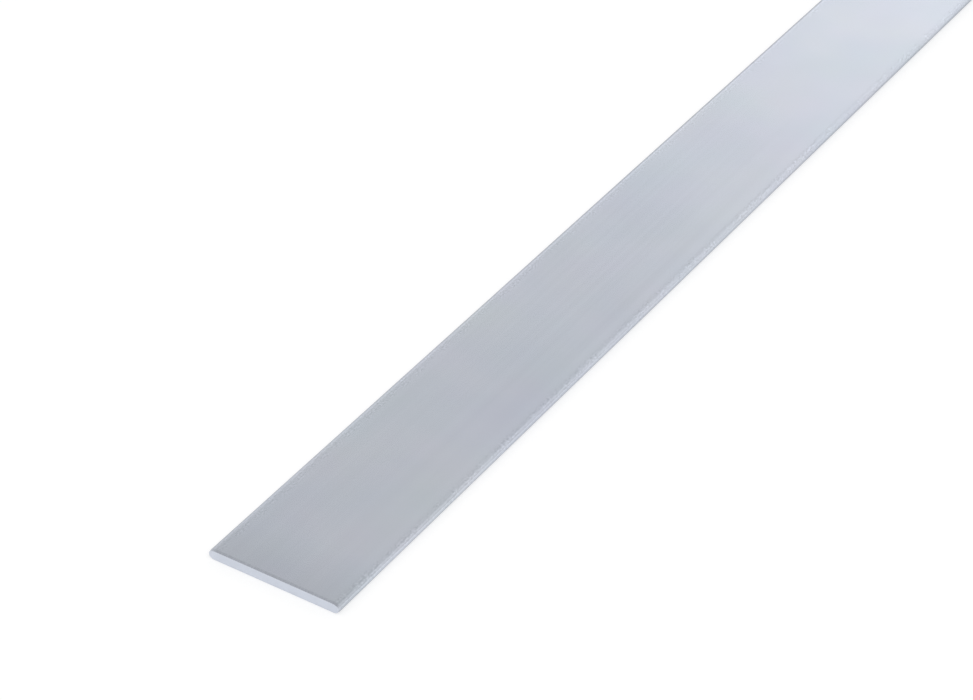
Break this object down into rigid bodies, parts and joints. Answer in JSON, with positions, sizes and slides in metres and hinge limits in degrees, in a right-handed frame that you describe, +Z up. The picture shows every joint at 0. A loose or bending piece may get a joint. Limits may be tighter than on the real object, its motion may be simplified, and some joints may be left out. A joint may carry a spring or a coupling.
{
  "type": "flat bar",
  "caption": "Extruded flat bar with softly rounded long edges and square sawn ends, for cutting, drilling and screwing down as strip, brace or trim.",
  "frame": {"origin": "middle of the underside, the wide face that the bar lies on", "axes": "X along the length, Y across the width, +Z up through the thickness"},
  "size_m": [1, 0.04, 0.003],
  "materials": {
    "satin_aluminium": "satin anodised, with faint lines along the length and bare sawn ends"
  },
  "bodies": {
    "root": {"flat_bar": "satin_aluminium"}
  },
  "joints": []
}
